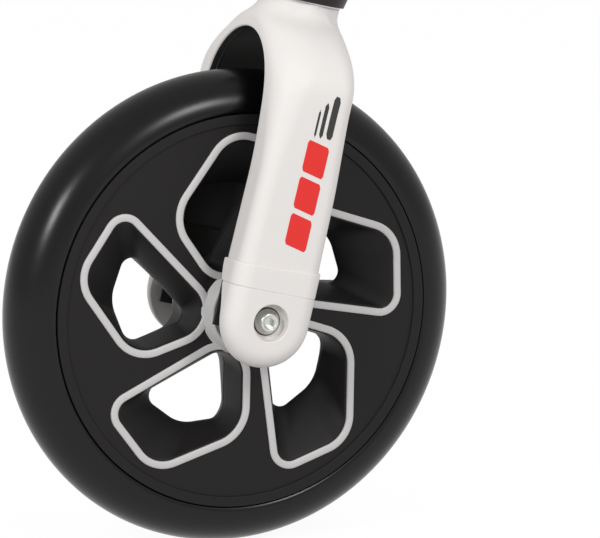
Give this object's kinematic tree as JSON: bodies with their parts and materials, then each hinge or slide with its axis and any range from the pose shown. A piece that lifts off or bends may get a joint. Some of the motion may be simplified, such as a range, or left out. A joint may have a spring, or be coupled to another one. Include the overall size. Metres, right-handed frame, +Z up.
{
  "type": "balance bike front wheel and fork",
  "caption": "Front end of a child's balance bike: a solid-tyred disc wheel with swirl openings in a white two-leg fork that turns on a head bearing and carries its steerer tube.",
  "frame": {"origin": "on the steering axis, at the seat of the head cup where the frame's head tube stands on it", "axes": "+X forward, +Y to the rider's left along the axle, +Z up; the steering axis leans back 14 degrees"},
  "size_m": [0.2499, 0.115, 0.4287],
  "materials": {
    "cup_black": "satin",
    "bearing_steel": "satin",
    "steel_tube": "satin",
    "zinc": "zinc plated",
    "fork_white": "gloss",
    "strap_black": "satin",
    "liner_black": "matte",
    "tyre_black": "smooth, half gloss",
    "wheel_black": "matte",
    "trim_grey": "satin",
    "shield_black": "matte"
  },
  "bodies": {
    "head": {"head_cup": "cup_black", "head_bearing_outer": "bearing_steel", "head_bearing_balls": "bearing_steel"},
    "fork": {"crown_race": "bearing_steel", "head_bearing_inner": "bearing_steel", "steerer": "steel_tube", "fork_strap": "strap_black", "fork_shell": "fork_white", "fork_liner": "liner_black", "leg_band_left": "fork_white", "leg_band_right": "fork_white", "leg_cap_left": "fork_white", "leg_cap_right": "fork_white", "axle_sleeve": "steel_tube", "axle_bolt_left": "zinc", "axle_bolt_right": "zinc", "bolt_washers": "zinc", "axle_spacers": "steel_tube", "axle_mid_spacer": "steel_tube", "hub_bearing_inners": "bearing_steel"},
    "wheel": {"tyre": "tyre_black", "wheel_half_left": "wheel_black", "wheel_half_right": "wheel_black", "trim_left": "trim_grey", "trim_right": "trim_grey", "hub_bearing_outers": "bearing_steel", "hub_bearing_balls": "bearing_steel", "hub_bearing_shields": "shield_black", "half_screws": "zinc"}
  },
  "joints": [
    {"name": "steering", "type": "hinge", "parent": "head", "child": "fork", "pos_m": [0, 0, 0], "axis": [-0.2419, 0, 0.9703], "range_deg": [-90, 90]},
    {"name": "wheel_spin", "type": "hinge", "parent": "fork", "child": "wheel", "pos_m": [0.04936, 0, -0.18969], "axis": [0, 1, 0], "continuous": true}
  ]
}
